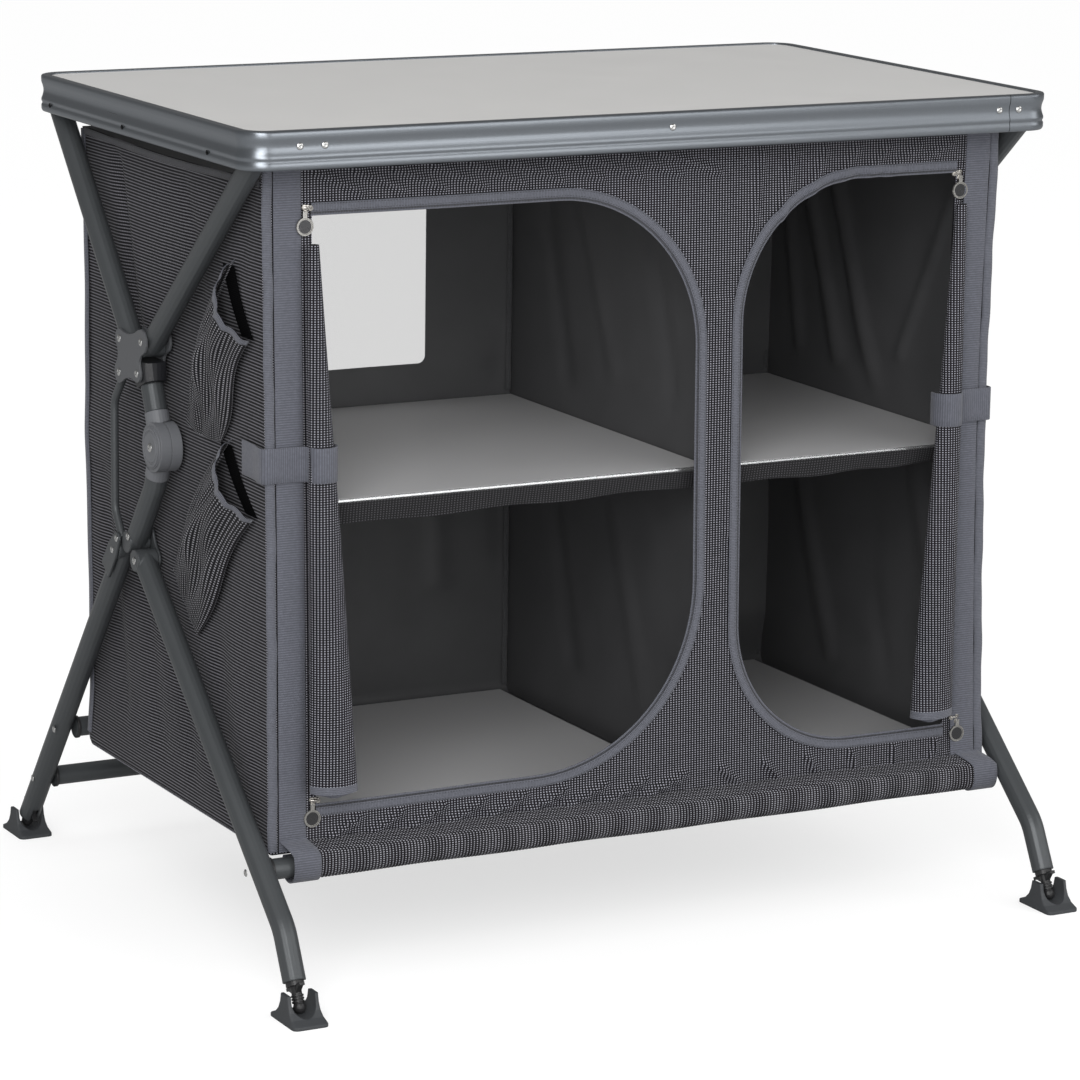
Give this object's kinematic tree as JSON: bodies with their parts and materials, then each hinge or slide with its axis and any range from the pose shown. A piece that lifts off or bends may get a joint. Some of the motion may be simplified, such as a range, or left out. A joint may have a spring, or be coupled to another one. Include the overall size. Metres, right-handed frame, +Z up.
{
  "type": "camp kitchen unit",
  "caption": "Folding camp kitchen: a laminate table top in a fluted metal rim on two folding tube side frames, with a two-compartment cloth cabinet, shelves and rolled-up doors.",
  "frame": {"origin": "on the floor, in the middle of the rectangle round the four feet", "axes": "+Z up, -Y the front with the two doors, +X to the right seen from the front"},
  "size_m": [0.868, 0.7385, 0.81],
  "materials": {
    "laminate": "pale grey laminate, fine satin texture",
    "rim_metal": "dark anodised, satin",
    "frame_metal": "dark slate powder coat, satin",
    "hub_plastic": "moulded dark grey",
    "black_plastic": "moulded black",
    "pad_plastic": "soft dark grey foot",
    "cabinet_cloth": "charcoal woven polyester with fine ribs",
    "shelf_board": "grey covered board with a metal front edge",
    "zip_metal": "bright plated"
  },
  "bodies": {
    "root": {"left_hub_outer_plate": "hub_plastic", "left_hub_inner_plate": "hub_plastic", "left_hub_saddle": "black_plastic", "left_upper_link": "frame_metal", "left_knee_outer_half": "hub_plastic", "left_knee_inner_half": "hub_plastic", "left_lower_link": "frame_metal", "left_stay_rod": "frame_metal", "left_lower_inner_plate": "frame_metal", "left_side_panel": "cabinet_cloth", "left_door_roll": "cabinet_cloth", "right_hub_outer_plate": "hub_plastic", "right_hub_inner_plate": "hub_plastic", "right_hub_saddle": "black_plastic", "right_upper_link": "frame_metal", "right_knee_outer_half": "hub_plastic", "right_knee_inner_half": "hub_plastic", "right_lower_link": "frame_metal", "right_stay_rod": "frame_metal", "right_lower_inner_plate": "frame_metal", "right_side_panel": "cabinet_cloth", "right_door_roll": "cabinet_cloth", "front_panel": "cabinet_cloth", "back_panel": "cabinet_cloth", "divider_panel": "cabinet_cloth"},
    "front_legs": {"front_bar": "frame_metal", "front_bar_sleeve": "cabinet_cloth", "left_front_leg": "frame_metal", "right_front_leg": "frame_metal"},
    "rear_legs": {"rear_upper_bar": "frame_metal", "rear_lower_bar": "frame_metal", "left_rear_leg": "frame_metal", "left_leg_fork": "frame_metal", "right_rear_leg": "frame_metal", "right_leg_fork": "frame_metal"},
    "table": {"table_panel": "laminate", "table_rim": "rim_metal", "front_brace": "rim_metal", "middle_brace": "rim_metal", "rear_brace": "rim_metal"},
    "left_front_arm": {"left_front_arm": "frame_metal"},
    "left_rear_arm": {"left_rear_arm": "frame_metal"},
    "left_shelf": {"left_shelf": "shelf_board"},
    "left_floor_board": {"left_floor_board": "shelf_board"},
    "left_front_adjuster": {"left_front_adjuster": "black_plastic"},
    "left_rear_adjuster": {"left_rear_adjuster": "black_plastic"},
    "left_front_pad": {"left_front_pad": "pad_plastic"},
    "left_rear_pad": {"left_rear_pad": "pad_plastic"},
    "left_top_zip_pull": {"left_top_zip_pull": "zip_metal"},
    "left_bottom_zip_pull": {"left_bottom_zip_pull": "zip_metal"},
    "right_front_arm": {"right_front_arm": "frame_metal"},
    "right_rear_arm": {"right_rear_arm": "frame_metal"},
    "right_shelf": {"right_shelf": "shelf_board"},
    "right_floor_board": {"right_floor_board": "shelf_board"},
    "right_front_adjuster": {"right_front_adjuster": "black_plastic"},
    "right_rear_adjuster": {"right_rear_adjuster": "black_plastic"},
    "right_front_pad": {"right_front_pad": "pad_plastic"},
    "right_rear_pad": {"right_rear_pad": "pad_plastic"},
    "right_top_zip_pull": {"right_top_zip_pull": "zip_metal"},
    "right_bottom_zip_pull": {"right_bottom_zip_pull": "zip_metal"}
  },
  "joints": [
    {"name": "frame_fold", "type": "hinge", "parent": "root", "child": "front_legs", "pos_m": [0, 0.0195, 0.3595], "axis": [1, 0, 0], "range_deg": [0, 45]},
    {"name": "rear_leg_fold", "type": "hinge", "parent": "root", "child": "rear_legs", "pos_m": [0, 0.0685, 0.361], "axis": [-1, 0, 0], "range_deg": [0, 36]},
    {"name": "table_lift", "type": "slide", "parent": "root", "child": "table", "axis": [0, 0, 1], "range_m": [0, 0.66]},
    {"name": "left_front_arm_fold", "type": "hinge", "parent": "root", "child": "left_front_arm", "pos_m": [-0.414, -0.0065, 0.579], "axis": [-1, 0, 0], "range_deg": [0, 45]},
    {"name": "left_rear_arm_fold", "type": "hinge", "parent": "root", "child": "left_rear_arm", "pos_m": [-0.414, 0.047, 0.5745], "axis": [1, 0, 0], "range_deg": [0, 37.8]},
    {"name": "left_shelf_lift", "type": "slide", "parent": "root", "child": "left_shelf", "axis": [0, 0, 1], "range_m": [0, 0.66]},
    {"name": "left_floor_board_lift", "type": "slide", "parent": "root", "child": "left_floor_board", "axis": [0, 0, 1], "range_m": [0, 0.66]},
    {"name": "left_front_foot_slide", "type": "slide", "parent": "front_legs", "child": "left_front_adjuster", "axis": [0, -0.461, -0.8874], "range_m": [-0.003, 0.012]},
    {"name": "left_front_pad_swivel", "type": "hinge", "parent": "left_front_adjuster", "child": "left_front_pad", "pos_m": [-0.414, -0.34116, 0.0132], "axis": [1, 0, 0], "range_deg": [-12, 12]},
    {"name": "left_rear_foot_slide", "type": "slide", "parent": "rear_legs", "child": "left_rear_adjuster", "axis": [0, 0.6164, -0.7874], "range_m": [-0.004, 0.016]},
    {"name": "left_rear_pad_swivel", "type": "hinge", "parent": "left_rear_adjuster", "child": "left_rear_pad", "pos_m": [-0.414, 0.3413, 0.01255], "axis": [1, 0, 0], "range_deg": [-12, 12]},
    {"name": "right_front_arm_fold", "type": "hinge", "parent": "root", "child": "right_front_arm", "pos_m": [0.414, -0.0065, 0.579], "axis": [-1, 0, 0], "range_deg": [0, 45]},
    {"name": "right_rear_arm_fold", "type": "hinge", "parent": "root", "child": "right_rear_arm", "pos_m": [0.414, 0.047, 0.5745], "axis": [1, 0, 0], "range_deg": [0, 37.8]},
    {"name": "right_shelf_lift", "type": "slide", "parent": "root", "child": "right_shelf", "axis": [0, 0, 1], "range_m": [0, 0.66]},
    {"name": "right_floor_board_lift", "type": "slide", "parent": "root", "child": "right_floor_board", "axis": [0, 0, 1], "range_m": [0, 0.66]},
    {"name": "right_front_foot_slide", "type": "slide", "parent": "front_legs", "child": "right_front_adjuster", "axis": [0, -0.461, -0.8874], "range_m": [-0.003, 0.012]},
    {"name": "right_front_pad_swivel", "type": "hinge", "parent": "right_front_adjuster", "child": "right_front_pad", "pos_m": [0.414, -0.34116, 0.0132], "axis": [1, 0, 0], "range_deg": [-12, 12]},
    {"name": "right_rear_foot_slide", "type": "slide", "parent": "rear_legs", "child": "right_rear_adjuster", "axis": [0, 0.6164, -0.7874], "range_m": [-0.004, 0.016]},
    {"name": "right_rear_pad_swivel", "type": "hinge", "parent": "right_rear_adjuster", "child": "right_rear_pad", "pos_m": [0.414, 0.3413, 0.01255], "axis": [1, 0, 0], "range_deg": [-12, 12]},
    {"name": "left_top_zip_pull_swing", "type": "hinge", "parent": "root", "child": "left_top_zip_pull", "pos_m": [-0.3575, -0.2263, 0.729], "axis": [-1, 0, 0], "range_deg": [0, 80]},
    {"name": "left_bottom_zip_pull_swing", "type": "hinge", "parent": "root", "child": "left_bottom_zip_pull", "pos_m": [-0.3545, -0.23999, 0.172], "axis": [-1, 0, 0], "range_deg": [0, 80]},
    {"name": "right_top_zip_pull_swing", "type": "hinge", "parent": "root", "child": "right_top_zip_pull", "pos_m": [0.354, -0.22638, 0.726], "axis": [-1, 0, 0], "range_deg": [0, 80]},
    {"name": "right_bottom_zip_pull_swing", "type": "hinge", "parent": "root", "child": "right_bottom_zip_pull", "pos_m": [0.364, -0.23994, 0.174], "axis": [-1, 0, 0], "range_deg": [0, 80]}
  ],
  "couplings": [
    {"joint": "rear_leg_fold", "follows": "frame_fold", "ratio": 0.8},
    {"joint": "table_lift", "follows": "frame_fold", "m_per_rad": 0.84},
    {"joint": "left_front_arm_fold", "follows": "frame_fold", "ratio": 1},
    {"joint": "left_rear_arm_fold", "follows": "frame_fold", "ratio": 0.84},
    {"joint": "left_shelf_lift", "follows": "frame_fold", "m_per_rad": 0.84},
    {"joint": "left_floor_board_lift", "follows": "frame_fold", "m_per_rad": 0.84},
    {"joint": "right_front_arm_fold", "follows": "frame_fold", "ratio": 1},
    {"joint": "right_rear_arm_fold", "follows": "frame_fold", "ratio": 0.84},
    {"joint": "right_shelf_lift", "follows": "frame_fold", "m_per_rad": 0.84},
    {"joint": "right_floor_board_lift", "follows": "frame_fold", "m_per_rad": 0.84}
  ]
}
